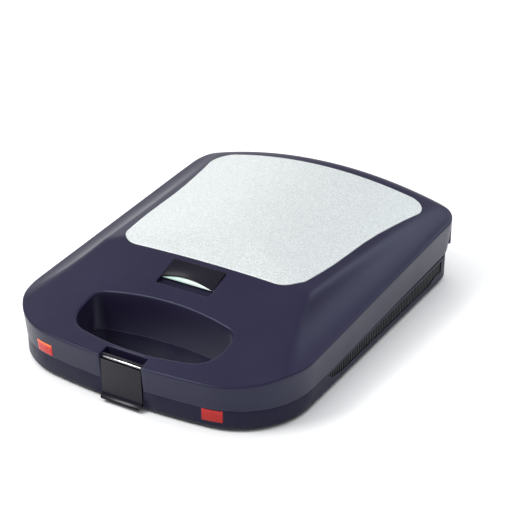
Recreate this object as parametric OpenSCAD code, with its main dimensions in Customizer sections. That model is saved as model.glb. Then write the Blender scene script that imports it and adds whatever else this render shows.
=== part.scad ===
// Four-slice sandwich toaster: a flat, drafted housing with a carry opening at the front,
// a lid on a rear hinge and a latch that swings on the lid.
// Millimetres, +Z up, the front faces -Y, the rest face is at Z 0.

/* [Overall] */
// Overall width, across the belt of the lid
body_w = 276; // [270:1:286]
// Depth of the housing, from the front rim to the rear wall
body_d = 350; // [348:1:362]
// Height of the closed lid at the rear, on the centre line
body_h = 85; // [83:0.5:92]
// Height of the front rim of the lid
rim_h = 42.5; // [41.5:0.5:43.5]
// Height of the parting line at the front
part_h = 20; // [19.5:0.1:20.4]
// Gap between lid and base at the parting line
part_gap = 0.4; // [0.3:0.1:0.8]
// Height of the feet below the housing
foot_h = 3; // [2.5:0.5:4]

/* [Plan outline] */
// Radius of the bowed front
front_arc_r = 557.904; // [500:0.001:640]
// Radius of the two front corners
corner_r = 71.184; // [66:0.001:75]
// Radius of the two rear corners
rear_corner_r = 28; // [24:1:32]
// Distance the nominal front lies before the front rim
front_lead = 2; // [1.5:0.5:2.5]

/* [Lid form] */
// Wall thickness of the mouldings
wall = 2.6; // [2.2:0.1:2.8]
// Height above which the wall of the lid is upright
belt_top = 63; // [60:1:66]
// Draft of the belt, inset for each millimetre of height
draft = 0.1; // [0.06:0.01:0.12]
// Radius of the crown across the lid
crown_r = 440; // [400:5:520]
// Rise of the crown towards the rear, for each millimetre
crown_rise = 0.0077; // [0.004:0.0001:0.01]
// Length of the eased edge at the rear of the crown
ease_l = 10; // [6:1:14]
// Drop of the eased edge at the rear of the crown
ease_drop = 4.5; // [2:0.5:6]
// Depth at which the front slope reaches the crown
slope_end = 165; // [158:1:170]
// Height at which the front slope reaches the crown
slope_end_h = 83.3; // [82.5:0.1:84]
// Depth of the first shaping point of the front slope
slope_a = 80; // [74:1:86]
// Height of the first shaping point of the front slope
slope_a_h = 56; // [54:0.5:57]
// Depth of the second shaping point of the front slope
slope_b = 125; // [120:1:130]
// Height of the second shaping point of the front slope
slope_b_h = 80; // [78.5:0.5:81]
// Radius of the scooped side facets
scoop_r = 60; // [55:1:70]
// Angle at which a side facet leaves the belt
scoop_start = 10.4; // [8:0.2:13]
// Height of the side facets at the front
scoop_h = 42.2; // [41:0.2:44]
// Rise of the side facets towards the rear, for each millimetre
scoop_rise = 0.062; // [0.055:0.001:0.068]

/* [Carry opening] */
// Width of the carry opening
handle_w = 138; // [126:1:142]
// Front edge of the carry opening on the centre line
handle_front = 16.5; // [16:0.5:18]
// Rear edge of the carry opening on the centre line
handle_rear = 74.5; // [72:0.5:75]
// Radius of the front edge of the opening
handle_front_r = 210; // [180:5:260]
// Radius of the rear edge of the opening
handle_rear_r = 260; // [220:5:320]
// Radius of the corners of the opening
handle_corner_r = 20; // [16:1:22]

/* [Top panel] */
// Front edge of the silver panel
panel_front = 125; // [122.5:0.5:128]
// Distance of the panel's rear edge from the rear of the lid
panel_back = 19; // [16:1:24]
// Distance of the panel's front corners from the sides
panel_side_front = 47; // [44:1:54]
// Distance of the panel's waist from the sides
panel_side_mid = 40; // [38:1:44]
// Distance of the panel's rear corners from the sides
panel_side_rear = 26; // [24:1:30]
// Corner radius of the panel at its front
panel_r_front = 22; // [16:1:26]
// Corner radius of the panel at its rear
panel_r_rear = 18; // [14:1:22]
// Thickness of the panel sheet
panel_t = 1.3; // [1:0.1:1.5]
// Height the panel stands above the lid
panel_proud = 0.3; // [0.2:0.1:0.5]

/* [Latch] */
// Width of the latch
latch_w = 39; // [34:0.5:40]
// Side clearance of the latch in its channel
latch_side = 0.6; // [0.4:0.1:0.9]
// Height of the latch pivot
latch_z = 39; // [38.5:0.1:39.3]
// Depth of the latch pivot behind the front rim
latch_y = 4.8; // [4.6:0.1:5]
// Radius of the rounded head of the latch
latch_head_r = 3.4; // [3.2:0.1:3.6]
// Radius of the latch pin
latch_pin_r = 1.5; // [1.4:0.05:1.6]
// Thickness of the latch plate
latch_t = 2.7; // [2.4:0.1:2.9]
// Depth of the front channel that holds the latch
channel_d = 5.7; // [5.6:0.1:6]
// Rear edge of the notch over the latch
notch_rear = 12.4; // [11.5:0.1:12.6]

/* [Hinge] */
// Distance of the hinge axis behind the rear of the lid
hinge_back = 2; // [1.5:0.5:3]
// Height of the hinge axis
hinge_z = 31; // [30.5:0.1:31.5]
// Distance of each hinge from the side
hinge_side = 50; // [44:1:62]
// Outer radius of the hinge knuckles
knuckle_r = 6; // [5.5:0.1:6.2]
// Width of the lid's hinge tongue
tongue_w = 9; // [8:0.5:10]
// Width of each of the base's hinge ears
ear_w = 5; // [4.5:0.5:6]
// Gap between a tongue and its ears
hinge_gap = 0.4; // [0.3:0.1:0.6]
// Radius of the hinge pins
hinge_pin_r = 2; // [1.8:0.1:2.2]

/* [Cooking plates] */
// Height of the plane in which the plates meet
meet_h = 23; // [22.8:0.1:23.2]
// Gap between the closed plates
meet_gap = 0.4; // [0.3:0.1:0.6]
// Space between a cooking plate and the sides
plate_side = 18; // [17:0.5:19]
// Space between a cooking plate and the rear
plate_back = 28; // [27:0.5:29]
// Front edge of the cooking plates
plate_y = 84; // [83:0.5:85]
// Thickness of the plate's flange
flange_t = 2.8; // [2.4:0.1:2.8]
// Width of the plate's flange
flange_w = 4; // [3.5:0.5:4.5]
// Depth of the bread pockets
pocket_d = 8.5; // [6.5:0.5:8.5]
// Width of the ridges between the pockets
ridge_w = 9; // [7:0.5:10]
// Inset of a pocket's floor from its mouth
pocket_in = 6; // [4:0.5:7]
// Radius of the heating element's tube
element_r = 3; // [2.8:0.1:3]

/* [Clearances] */
// Clearance around parts that lie in a recess
seat_gap = 0.2; // [0.1:0.05:0.3]
// Radial clearance of the latch and the lid on their pins
pin_gap = 0.05; // [0.03:0.01:0.08]

/* [Hidden] */
$fn = 96;
hw = body_w / 2;
plate_w = body_w - 2 * plate_side;
plate_d = body_d - plate_y - plate_back;
hinge_y = body_d + hinge_back;
hinge_x = hw - hinge_side;
panel_rear = body_d - panel_back;
panel_hw_front = hw - panel_side_front;
panel_hw_mid = hw - panel_side_mid;
panel_hw_rear = hw - panel_side_rear;
over = body_h + 25;
front_y = -front_lead;
arc_cy = front_y + front_arc_r;
corner_cx = hw - corner_r;
corner_back = sqrt(pow(front_arc_r - corner_r, 2) - pow(corner_cx, 2));
corner_cy = arc_cy - corner_back;
rear_cx = hw - rear_corner_r;
rear_cy = body_d - rear_corner_r;
sector_in = front_arc_r - corner_r - 30;
lid_lo = part_h + part_gap / 2 + 0.1;
base_top = part_h - part_gap / 2 + 0.1;
base_in = draft * (belt_top - part_h) + 0.3;
deck_t = 2.2;
side_start = 98;
grille_lo = 9.4;
lip_y = -2.6;
lip_z = 4.4;
mid_y = (lip_y + hinge_y + knuckle_r) / 2;
floor_t = 2;
block_w = plate_w - 2 * flange_w;
block_d = plate_d - 2 * flange_w;
plate_cy = plate_y + plate_d / 2;
frame_z = meet_h + meet_gap / 2 + flange_t + 0.1;
low_face = meet_h - meet_gap / 2;
low_under = 10.5;
shield_z = foot_h + floor_t + 1.1;
lower_el_z = low_under;
light_a = asin((hw - 56.5) / front_arc_r);
light_w = 17.6;
light_h = 10.2;
ready_z = lid_lo + 0.9 + light_h / 2;
power_z = base_top - 1 - light_h / 2;
ind_y = 105;
ind_w = 52;
ind_l = 30;
ind_slope = 21;
ind_z = slope_h(ind_y);
hood_r = 51;
foot_xy = [[hw - 38, 62], [hw - 34, body_d - 22]];
screw_xy = [[hw - 50, 40], [hw - 11, 120], [hw - 11, body_d - 70], [hw - 78, body_d - 17]];
lid_screw_xy = [[hw - 42, 36], [hw - 12.5, plate_cy - 33], [hinge_x + 2, body_d - 19]];
plate_screw_y = [-44, 44];
boss_r = 3.6;

function draft_in(z) = draft * max(0, belt_top - z);
function bez(t, a, b, c, d) =
  pow(1 - t, 3) * a + 3 * pow(1 - t, 2) * t * b + 3 * (1 - t) * t * t * c + pow(t, 3) * d;
function slope_y(t) = bez(t, 0, slope_a, slope_b, slope_end);
function slope_z(t) = bez(t, rim_h, slope_a_h, slope_b_h, slope_end_h);
function find_t(y, lo, hi, n) =
  n == 0 ? (lo + hi) / 2
  : slope_y((lo + hi) / 2) > y ? find_t(y, lo, (lo + hi) / 2, n - 1)
  : find_t(y, (lo + hi) / 2, hi, n - 1);
function slope_h(y) = slope_z(find_t(y, 0, 1, 24));

module placed() {
  translate([0, -mid_y, 0]) children();
}

module mirrored() {
  children();
  mirror([1, 0, 0]) children();
}

// Drafted body on the plan outline. The profile lists [height, inset] from the bottom up.
module tray(profile) {
  lo = profile[0][0];
  hi = profile[len(profile) - 1][0];
  intersection() {
    translate([0, arc_cy, 0])
      rotate_extrude($fn = 480)
        polygon(concat([[sector_in, lo]], [for (p = profile) [front_arc_r - p[1], p[0]]], [[sector_in, hi]]));
    translate([0, 0, lo - 1])
      linear_extrude(hi - lo + 2)
        polygon([
          [0, arc_cy],
          [2 * corner_cx, arc_cy - 2 * corner_back],
          [-2 * corner_cx, arc_cy - 2 * corner_back]
        ]);
  }
  mirrored() {
    intersection() {
      translate([corner_cx, corner_cy, 0])
        rotate_extrude()
          polygon(concat([[0, lo]], [for (p = profile) [corner_r - p[1], p[0]]], [[0, hi]]));
      translate([0, 0, lo - 1])
        linear_extrude(hi - lo + 2)
          polygon([
            [corner_cx, corner_cy],
            [2 * corner_cx, arc_cy - 2 * corner_back],
            [corner_cx + 4 * corner_r, arc_cy - 2 * corner_back],
            [corner_cx + 4 * corner_r, corner_cy]
          ]);
    }
    translate([0, rear_cy, 0])
      rotate([90, 0, 0])
        linear_extrude(rear_cy - corner_cy)
          polygon(concat([[corner_cx, lo]], [for (p = profile) [hw - p[1], p[0]]], [[corner_cx, hi]]));
    translate([rear_cx, rear_cy, 0])
      rotate_extrude(angle = 90)
        polygon(concat([[0, lo]], [for (p = profile) [rear_corner_r - p[1], p[0]]], [[0, hi]]));
  }
  translate([-rear_cx, 0, 0])
    rotate([90, 0, 90])
      linear_extrude(2 * rear_cx)
        polygon(concat([[rear_cy, lo]], [for (p = profile) [body_d - p[1], p[0]]], [[rear_cy, hi]]));
  translate([-corner_cx, corner_cy, lo])
    cube([2 * corner_cx, rear_cy - corner_cy, hi - lo]);
  mirrored() translate([corner_cx, corner_cy, lo]) cylinder(h = hi - lo, r = corner_r - 18);
}

// The same outline as an upright body.
module upright(o, lo, hi) {
  tray([[lo, o], [hi, o]]);
}

module crown(w) {
  front_reach = 30;
  translate([0, 0, body_h - crown_r])
    rotate([-90, 0, 0])
      rotate_extrude()
        polygon([
          [0, -front_reach],
          [crown_r - crown_rise * (body_d + front_reach) - w, -front_reach],
          [crown_r - w, body_d - ease_l],
          [crown_r - ease_drop * 1.5 - w, body_d + ease_l / 2],
          [0, body_d + ease_l / 2]
        ]);
}

module front_slope(w) {
  steps = 16;
  lead_out = 14;
  start_rise = (slope_a_h - rim_h) / slope_a;
  translate([0, arc_cy, -w])
    rotate_extrude($fn = 480)
      polygon(concat(
        [[arc_cy + lead_out, -20], [arc_cy + lead_out, rim_h - lead_out * start_rise]],
        [for (i = [0:steps]) [arc_cy - slope_y(i / steps), slope_z(i / steps)]],
        [[arc_cy - slope_end - 50, slope_end_h + 5], [arc_cy - body_d - 45, 115], [arc_cy - body_d - 45, -20]]
      ));
}

module scoops(w) {
  tilt = atan(scoop_rise);
  mirrored()
    translate([hw + scoop_r * sin(scoop_start), 0, scoop_h + scoop_r * cos(scoop_start)])
      rotate([tilt - 90, 0, 0])
        translate([0, 0, -40])
          cylinder(h = body_d + 90, r = scoop_r + w);
}

module lid_top(w) {
  intersection() {
    crown(w);
    front_slope(w);
  }
}

// Outer form of the lid, or the same form set in by w.
module lid_form(w, lo) {
  difference() {
    intersection() {
      tray([[lo, draft_in(lo) + w], [belt_top, w], [body_h + 12, w]]);
      lid_top(w);
    }
    scoops(w);
  }
}

// Side view outline swept across the whole width.
module across(points, width) {
  translate([-width / 2, 0, 0])
    rotate([90, 0, 90])
      linear_extrude(width)
        polygon(points);
}

module handle2d(o) {
  half = handle_w / 2 - o;
  r = handle_corner_r - o;
  y0 = handle_front + 2.5 + o;
  y1 = handle_rear - 2.5 - o;
  intersection() {
    translate([0, handle_rear - handle_rear_r]) circle(r = handle_rear_r - o);
    translate([0, handle_front + handle_front_r]) circle(r = handle_front_r - o);
    union() {
      translate([-half, y0 + r]) square([2 * half, y1 - y0 - 2 * r]);
      translate([r - half, y0 - 3]) square([2 * (half - r), y1 - y0 + 6]);
      for (s = [-1, 1]) {
        translate([s * (half - r), y0 + r]) circle(r = r);
        translate([s * (half - r), y1 - r]) circle(r = r);
      }
    }
  }
}

module handle_bar(o, lo, hi) {
  translate([0, 0, lo]) linear_extrude(hi - lo) handle2d(o);
}

// Half of the panel's outline: four corner rounds joined by straight and waisted edges.
module panel2d(o) {
  ya = panel_front + o;
  yb = panel_rear - o;
  ym = (panel_front + panel_rear) / 2;
  xa = panel_hw_front - o;
  xm = panel_hw_mid - o;
  xb = panel_hw_rear - o;
  ra = panel_r_front - o;
  rb = panel_r_rear - o;
  mirrored() {
    polygon([
      [-1, ya],
      [xa - ra, ya],
      [xa - ra, ya + ra],
      [xa, ya + ra],
      [xa + (xm - xa) * 0.62, ya + ra + (ym - ya - ra) * 0.4],
      [xm, ym],
      [xm + (xb - xm) * 0.42, ym + (yb - rb - ym) * 0.5],
      [xb, yb - rb],
      [xb - rb, yb - rb],
      [xb - rb, yb],
      [-1, yb]
    ]);
    translate([xa - ra, ya + ra]) circle(r = ra);
    translate([xb - rb, yb - rb]) circle(r = rb);
  }
}

// Block turned about the centre of the bowed front, so that it sits square to the surface.
module at_front(angle) {
  translate([0, arc_cy, 0])
    rotate([0, 0, angle])
      translate([0, -arc_cy, 0])
        children();
}

module centred(x, y0, y1, z0, z1) {
  translate([-x / 2, y0, z0]) cube([x, y1 - y0, z1 - z0]);
}

module latch_channel(lo, hi) {
  centred(latch_w + 2 * latch_side, -12, channel_d, lo, hi);
}

module post(xy, r, lo, hi) {
  translate([xy[0], xy[1], lo]) cylinder(h = hi - lo, r = r);
}

module ind_place() {
  translate([0, ind_y, ind_z]) rotate([ind_slope, 0, 0]) children();
}

module hood_barrel(r) {
  lift = 4;
  translate([0, ind_y + 14 * cos(ind_slope), ind_z + 14 * sin(ind_slope) + 0.2 - hood_r])
    rotate([90 + lift, 0, 0])
      translate([0, 0, -30])
        cylinder(h = 90, r = r);
}

// Upper edge of the base, level at the front and rising along the sides.
module base_slope_cut() {
  across([
    [side_start, base_top],
    [body_d - 4, base_top + 7],
    [body_d + 30, base_top + 7],
    [body_d + 30, 80],
    [-30, 80],
    [-30, base_top]
  ], body_w + 60);
}

module base_housing() {
  tube_t = 2.4;
  color([0.13, 0.12, 0.19]) placed()
    difference() {
      union() {
        difference() {
          tray([[foot_h, base_in + 1], [foot_h + 2, base_in], [28, base_in]]);
          base_slope_cut();
          difference() {
            upright(base_in + wall, foot_h - 1, base_top - deck_t);
            handle_bar(-tube_t, 0, 60);
            centred(latch_w + 8, -5, channel_d + 2.4, 0, 60);
            for (p = screw_xy) mirrored() post(p, boss_r, foot_h + floor_t + 0.1, 60);
          }
          upright(base_in + wall - 1, base_top, 40);
          centred(block_w + 1, plate_y + flange_w - 0.5, plate_y + plate_d - flange_w + 0.5, 10, 40);
        }
        mirrored() translate([hinge_x, 0, 0]) base_ears();
      }
      handle_bar(0, foot_h - 5, 60);
      latch_channel(-5, 60);
      for (p = screw_xy) mirrored() post(p, 1.5, foot_h, base_top - deck_t - 1.5);
      at_front(light_a)
        centred(light_w + 0.4, -10, 12, power_z - light_h / 2 - 0.2, power_z + light_h / 2 + 0.2);
      mirrored() grille_window(0, grille_lo, wall + 0.05);
      translate([-62, body_d - 20, 12]) rotate([-90, 0, 0]) cylinder(h = 40, r = 5.1);
      translate([-hinge_x - 30, hinge_y, hinge_z]) rotate([0, 90, 0])
        cylinder(h = 2 * hinge_x + 60, r = hinge_pin_r);
    }
}

// Window in the side wall, pointed at the front. The first value widens it.
module grille_window(o, lo, depth) {
  y0 = side_start + 3;
  y1 = rear_cy - 3;
  rise = 7 / (body_d - 4 - side_start);
  translate([hw - base_in - depth, 0, 0])
    rotate([90, 0, 90])
      linear_extrude(16)
        polygon([
          [y0 - 2.5 * o, base_top - 2.2 + o],
          [y0 + 7 - 2.5 * o, 12.4 - o],
          [y0 + 24 - 2.5 * o, lo - o],
          [y1 - 26 + o, lo - o],
          [y1 - 14 + o, 13 - o],
          [y1 + o, 13 - o],
          [y1 + o, base_top - 2.2 + rise * (y1 - y0) + o],
          [y0 - 2.5 * o, base_top - 2.2 + o]
        ]);
}

module base_ears() {
  step = tongue_w / 2 + hinge_gap;
  for (s = [-1, 1])
    translate([s * (step + ear_w / 2) - ear_w / 2, 0, 0])
      rotate([90, 0, 90])
        linear_extrude(ear_w)
          union() {
            translate([hinge_y, hinge_z]) circle(r = knuckle_r);
            polygon([
              [body_d - base_in - 1, 12],
              [hinge_y + knuckle_r - 1.5, hinge_z - 3],
              [hinge_y, hinge_z],
              [hinge_y - knuckle_r, hinge_z],
              [body_d - base_in - 1, 26]
            ]);
          }
}

module base_bottom() {
  o = base_in + wall + seat_gap;
  slot = 34;
  color([0.10, 0.10, 0.13]) placed()
    difference() {
      union() {
        upright(o, foot_h, foot_h + floor_t);
        for (y = plate_screw_y) {
          post([0, plate_cy + y], 4, foot_h + floor_t - 0.1, low_under - 0.05);
          post([0, plate_cy + y], 6.5, foot_h + floor_t - 0.1, shield_z - 0.05);
        }
      }
      handle_bar(-2.4 - seat_gap, 0, 10);
      centred(latch_w + 8 + 2 * seat_gap, -10, channel_d + 2.4 + seat_gap, 0, 10);
      for (p = screw_xy) mirrored() {
        post(p, 1.7, 0, 10);
        post(p, 3.2, foot_h - 1, foot_h + 0.9);
      }
      for (p = foot_xy) mirrored() post(p, 3.1, 0, 10);
      for (y = plate_screw_y) post([0, plate_cy + y], 1.3, foot_h - 1, 20);
      for (x = [-60, 0, 60])
        for (i = [0:5])
          translate([x - slot / 2, plate_cy - 30 + i * 12, foot_h - 1]) cube([slot, 4, 6]);
    }
}

module rubber_feet() {
  color([0.05, 0.05, 0.05]) placed()
    for (p = foot_xy) mirrored() {
      translate([p[0], p[1], 0]) cylinder(h = foot_h, r1 = 6.4, r2 = 7);
      post(p, 3, foot_h - 0.5, foot_h + floor_t + 0.6);
      post(p, 4.2, foot_h + floor_t + 0.05, foot_h + floor_t + 1);
    }
}

module bottom_screws() {
  color([0.62, 0.63, 0.65]) placed()
    for (p = screw_xy) mirrored()
      difference() {
        union() {
          post(p, 3, foot_h + 0.1, foot_h + 0.9);
          post(p, 1.45, foot_h + 0.5, base_top - deck_t - 2);
        }
        translate([p[0] - 2, p[1] - 0.3, foot_h]) cube([4, 0.6, 0.5]);
        translate([p[0] - 0.3, p[1] - 2, foot_h]) cube([0.6, 4, 0.5]);
      }
}

module grille(o) {
  y0 = side_start + 3;
  y1 = rear_cy - 3;
  pitch = 3.2;
  wall_x = hw - base_in;
  difference() {
    union() {
      intersection() {
        grille_window(-0.15, grille_lo, 8);
        translate([wall_x - wall, 0, 0]) cube([wall - 1.5, 500, 60]);
      }
      intersection() {
        grille_window(-0.15, grille_lo, 8);
        union()
          for (i = [0:floor((y1 - y0 - 4) / pitch)])
            translate([wall_x - wall, y0 + 3 + i * pitch, 0]) cube([wall - 0.6, 1.4, 60]);
      }
      intersection() {
        grille_window(1.8, grille_lo, 8);
        translate([wall_x - wall - 1.3, 0, 0]) cube([1.25, 500, base_top - deck_t - 0.2]);
      }
      intersection() {
        grille_window(-0.15, grille_lo, 8);
        translate([wall_x - wall - 1.3, 0, 0]) cube([1.4, 500, base_top - deck_t - 0.2]);
      }
    }
    for (p = screw_xy) post(p, boss_r + 0.3, 0, 60);
  }
}

module side_grille_right() {
  color([0.05, 0.05, 0.07]) placed() grille(0);
}

module side_grille_left() {
  color([0.05, 0.05, 0.07]) placed() mirror([1, 0, 0]) grille(0);
}

// Triangular pocket, tapered towards its floor; the corners are given in plan.
module pocket(a, b, c) {
  la = norm(b - c);
  lb = norm(c - a);
  lc = norm(a - b);
  p = la + lb + lc;
  m = (la * a + lb * b + lc * c) / p;
  area = abs((b[0] - a[0]) * (c[1] - a[1]) - (c[0] - a[0]) * (b[1] - a[1])) / 2;
  inner = 2 * area / p;
  translate([m[0], m[1], -pocket_d])
    linear_extrude(pocket_d + 0.01, scale = inner / (inner - pocket_in))
      polygon([for (q = [a, b, c]) (q - m) * (inner - pocket_in) / inner]);
}

// The plate faces up, with its cooking face at Z 0 and its centre at the origin.
module plate_body(depth) {
  r = ridge_w / 2;
  edge = 5;
  ax = plate_w / 2 - edge;
  ay = plate_d / 2 - edge;
  skew = ridge_w * 0.9;
  difference() {
    union() {
      translate([-plate_w / 2, -plate_d / 2, -flange_t]) cube([plate_w, plate_d, flange_t]);
      translate([-block_w / 2, -block_d / 2, -depth]) cube([block_w, block_d, depth]);
    }
    for (sx = [0, 1])
      for (sy = [0, 1])
        mirror([sx, 0, 0]) mirror([0, sy, 0]) {
          pocket([r, r + skew], [ax - skew, ay], [r, ay]);
          pocket([r + skew, r], [ax, r], [ax, ay - skew]);
        }
    translate([0, 0, -depth]) element_path(element_r + 0.05);
    for (y = plate_screw_y) {
      translate([0, y, -depth - 1]) cylinder(h = depth + 2, r = 1.6);
      translate([0, y, -2]) cylinder(h = 2.1, r1 = 1.6, r2 = 3.6);
    }
  }
}

// Heating loop: four bends joined by straight runs, open at the rear.
module element_path(r) {
  ex = plate_w / 4;
  ey = plate_d / 2 - 57;
  br = 26;
  mirrored() {
    translate([ex - br, -(ey - br), 0]) rotate([0, 0, -90]) rotate_extrude(angle = 90)
      translate([br, 0]) circle(r = r);
    translate([ex - br, ey - br, 0]) rotate_extrude(angle = 90)
      translate([br, 0]) circle(r = r);
    translate([ex, -(ey - br), 0]) rotate([-90, 0, 0]) cylinder(h = 2 * (ey - br), r = r);
    translate([-0.01, -ey, 0]) rotate([0, 90, 0]) cylinder(h = ex - br + 0.01, r = r);
    translate([16 + 10, ey, 0]) rotate([0, 90, 0]) cylinder(h = ex - br - 26, r = r);
    translate([26, ey + 10, 0]) rotate([0, 0, 180]) rotate_extrude(angle = 90)
      translate([10, 0]) circle(r = r);
    translate([16, ey + 10, 0]) rotate([-90, 0, 0]) cylinder(h = plate_d / 2 - ey - 10 - 1, r = r);
  }
}

module screw_down(len_in) {
  difference() {
    union() {
      translate([0, 0, -1.9]) cylinder(h = 1.8, r1 = 1.5, r2 = 3.3);
      translate([0, 0, -len_in]) cylinder(h = len_in - 1, r = 1.25);
    }
    translate([-2.2, -0.3, -0.7]) cube([4.4, 0.6, 1]);
    translate([-0.3, -2.2, -0.7]) cube([0.6, 4.4, 1]);
  }
}

module lower_plate() {
  color([0.16, 0.16, 0.17]) placed()
    translate([0, plate_cy, low_face]) plate_body(low_face - low_under);
}

module lower_plate_screws() {
  color([0.7, 0.7, 0.72]) placed()
    for (y = plate_screw_y) translate([0, plate_cy + y, low_face]) screw_down(low_face - foot_h - 3);
}

module lower_element() {
  color([0.35, 0.34, 0.33]) placed()
    translate([0, plate_cy, lower_el_z]) element_path(element_r);
}

module terminals() {
  mirrored()
    translate([16, plate_d / 2 - 1, 0]) rotate([-90, 0, 0]) {
      cylinder(h = 2.2, r = 2.6);
      cylinder(h = 9, r = 1.2);
    }
}

module element_terminals_lower() {
  color([0.85, 0.83, 0.78]) placed()
    translate([0, plate_cy, lower_el_z]) terminals();
}

// Pressed sheet tray behind a plate; lo is the height of its floor.
module shield(lo, rise) {
  t = 0.7;
  w = block_w + 2 * 0.3 + 2 * t;
  d = block_d + 2 * 0.3 + 2 * t;
  difference() {
    translate([-w / 2, plate_cy - d / 2, lo]) cube([w, d, rise]);
    translate([-w / 2 + t, plate_cy - d / 2 + t, lo + t]) cube([w - 2 * t, d - 2 * t, rise]);
    for (y = plate_screw_y) post([0, plate_cy + y], 4.3, lo - 1, lo + 3);
    mirrored() translate([16 - 4, plate_cy + d / 2 - 3, lo - 1]) cube([8, 8, rise + 5]);
  }
}

module lower_heat_shield() {
  color([0.78, 0.79, 0.80]) placed() shield(shield_z, 9);
}

module thermostat() {
  x = hw - 21;
  y = plate_y - 2;
  color([0.88, 0.86, 0.80]) placed()
    translate([-x, y - 12, 0]) {
      translate([0, 0, foot_h + floor_t + 0.05]) cylinder(h = 8, r = 8);
      translate([0, 0, foot_h + floor_t + 8]) cylinder(h = 1.6, r = 6.5);
      translate([-11, -2.4, foot_h + floor_t + 3]) cube([22, 4.8, 0.8]);
      translate([-1, -11, foot_h + floor_t + 0.05]) cube([2, 22, 2]);
    }
}

module terminal_block() {
  x0 = 38;
  y0 = plate_y + plate_d + 1.5;
  color([0.92, 0.91, 0.86]) placed()
    difference() {
      translate([-x0 - 14, y0, foot_h + floor_t + 0.05]) cube([30, 8, 9]);
      for (i = [0:2]) {
        translate([-x0 - 9 + i * 10, y0 - 1, foot_h + floor_t + 3]) rotate([-90, 0, 0]) cylinder(h = 12, r = 1.6);
        translate([-x0 - 9 + i * 10, y0 + 4, foot_h + floor_t + 3]) cylinder(h = 8, r = 1.8);
      }
    }
}

module cord_gland() {
  back = body_d - base_in;
  color([0.08, 0.08, 0.09]) placed()
    translate([-62, 0, 12]) rotate([-90, 0, 0])
      difference() {
        union() {
          translate([0, 0, back - wall - 2]) cylinder(h = wall + 3, r = 5);
          translate([0, 0, back - wall - 2]) cylinder(h = 1.9, r = 5.6);
          translate([0, 0, back + 0.1]) cylinder(h = 2.4, r = 6.8);
          translate([0, 0, back + 0.5]) cylinder(h = 10, r1 = 6, r2 = 4.6);
        }
        translate([0, 0, back - wall - 5]) cylinder(h = 40, r = 3.4);
      }
}

// Ring about a front corner, from depth d0 to depth d1 below the face; the face is inset a below and b above.
module corner_ring(lo, hi, a, b, d0, d1) {
  k = (b - a) / (hi - lo);
  translate([corner_cx, corner_cy, lo])
    difference() {
      cylinder(h = hi - lo, r1 = corner_r - a - d0, r2 = corner_r - b - d0);
      translate([0, 0, -1])
        cylinder(h = hi - lo + 2, r1 = corner_r - a + k - d1, r2 = corner_r - b - k - d1);
    }
}

// Lens with its face 0.3 mm proud of the wall and a collar that bears on the wall's inside.
module lens(z, k, c_lo, c_hi) {
  lo = z - light_h / 2;
  hi = z + light_h / 2;
  a = k == 0 ? base_in : draft_in(lo);
  intersection() {
    corner_ring(lo, hi, a, a - k * (hi - lo), -0.3, wall + 1.6);
    at_front(light_a) centred(light_w, -10, 25, lo - 1, hi + 1);
  }
  intersection() {
    corner_ring(c_lo, c_hi, a - k * (c_lo - lo), a - k * (c_hi - lo), wall + 0.05, wall + 1.3);
    at_front(light_a) centred(light_w + 3, -10, 25, c_lo - 1, c_hi + 1);
  }
}

module power_lens() {
  color([0.75, 0.06, 0.06]) placed()
    lens(power_z, 0, power_z - light_h / 2 - 1, power_z + light_h / 2 - 1.5);
}

module lamp(z, y) {
  centred(12, y + 4.2, y + 5.4, z - 5, z + 4);
  translate([0, y + 2.4, z]) rotate([90, 0, 0]) rotate_extrude()
    intersection() {
      union() {
        circle(r = 2.4);
        translate([-2.4, -2]) square([4.8, 2]);
      }
      translate([0, -5]) square([5, 10]);
    }
}

module power_lamp() {
  color([0.9, 0.55, 0.4]) placed() at_front(light_a) lamp(power_z - 0.6, front_y + base_in + wall + 3);
}

module hinge_pins() {
  half = tongue_w / 2 + hinge_gap + ear_w;
  color([0.75, 0.76, 0.78]) placed()
    for (s = [-1, 1]) translate([s * hinge_x - half - 0.6, hinge_y, hinge_z]) rotate([0, 90, 0]) {
      cylinder(h = 2 * half + 1.2, r = hinge_pin_r - 0.02);
      translate([0, 0, -0.9]) cylinder(h = 1.4, r = hinge_pin_r + 1);
    }
}

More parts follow.
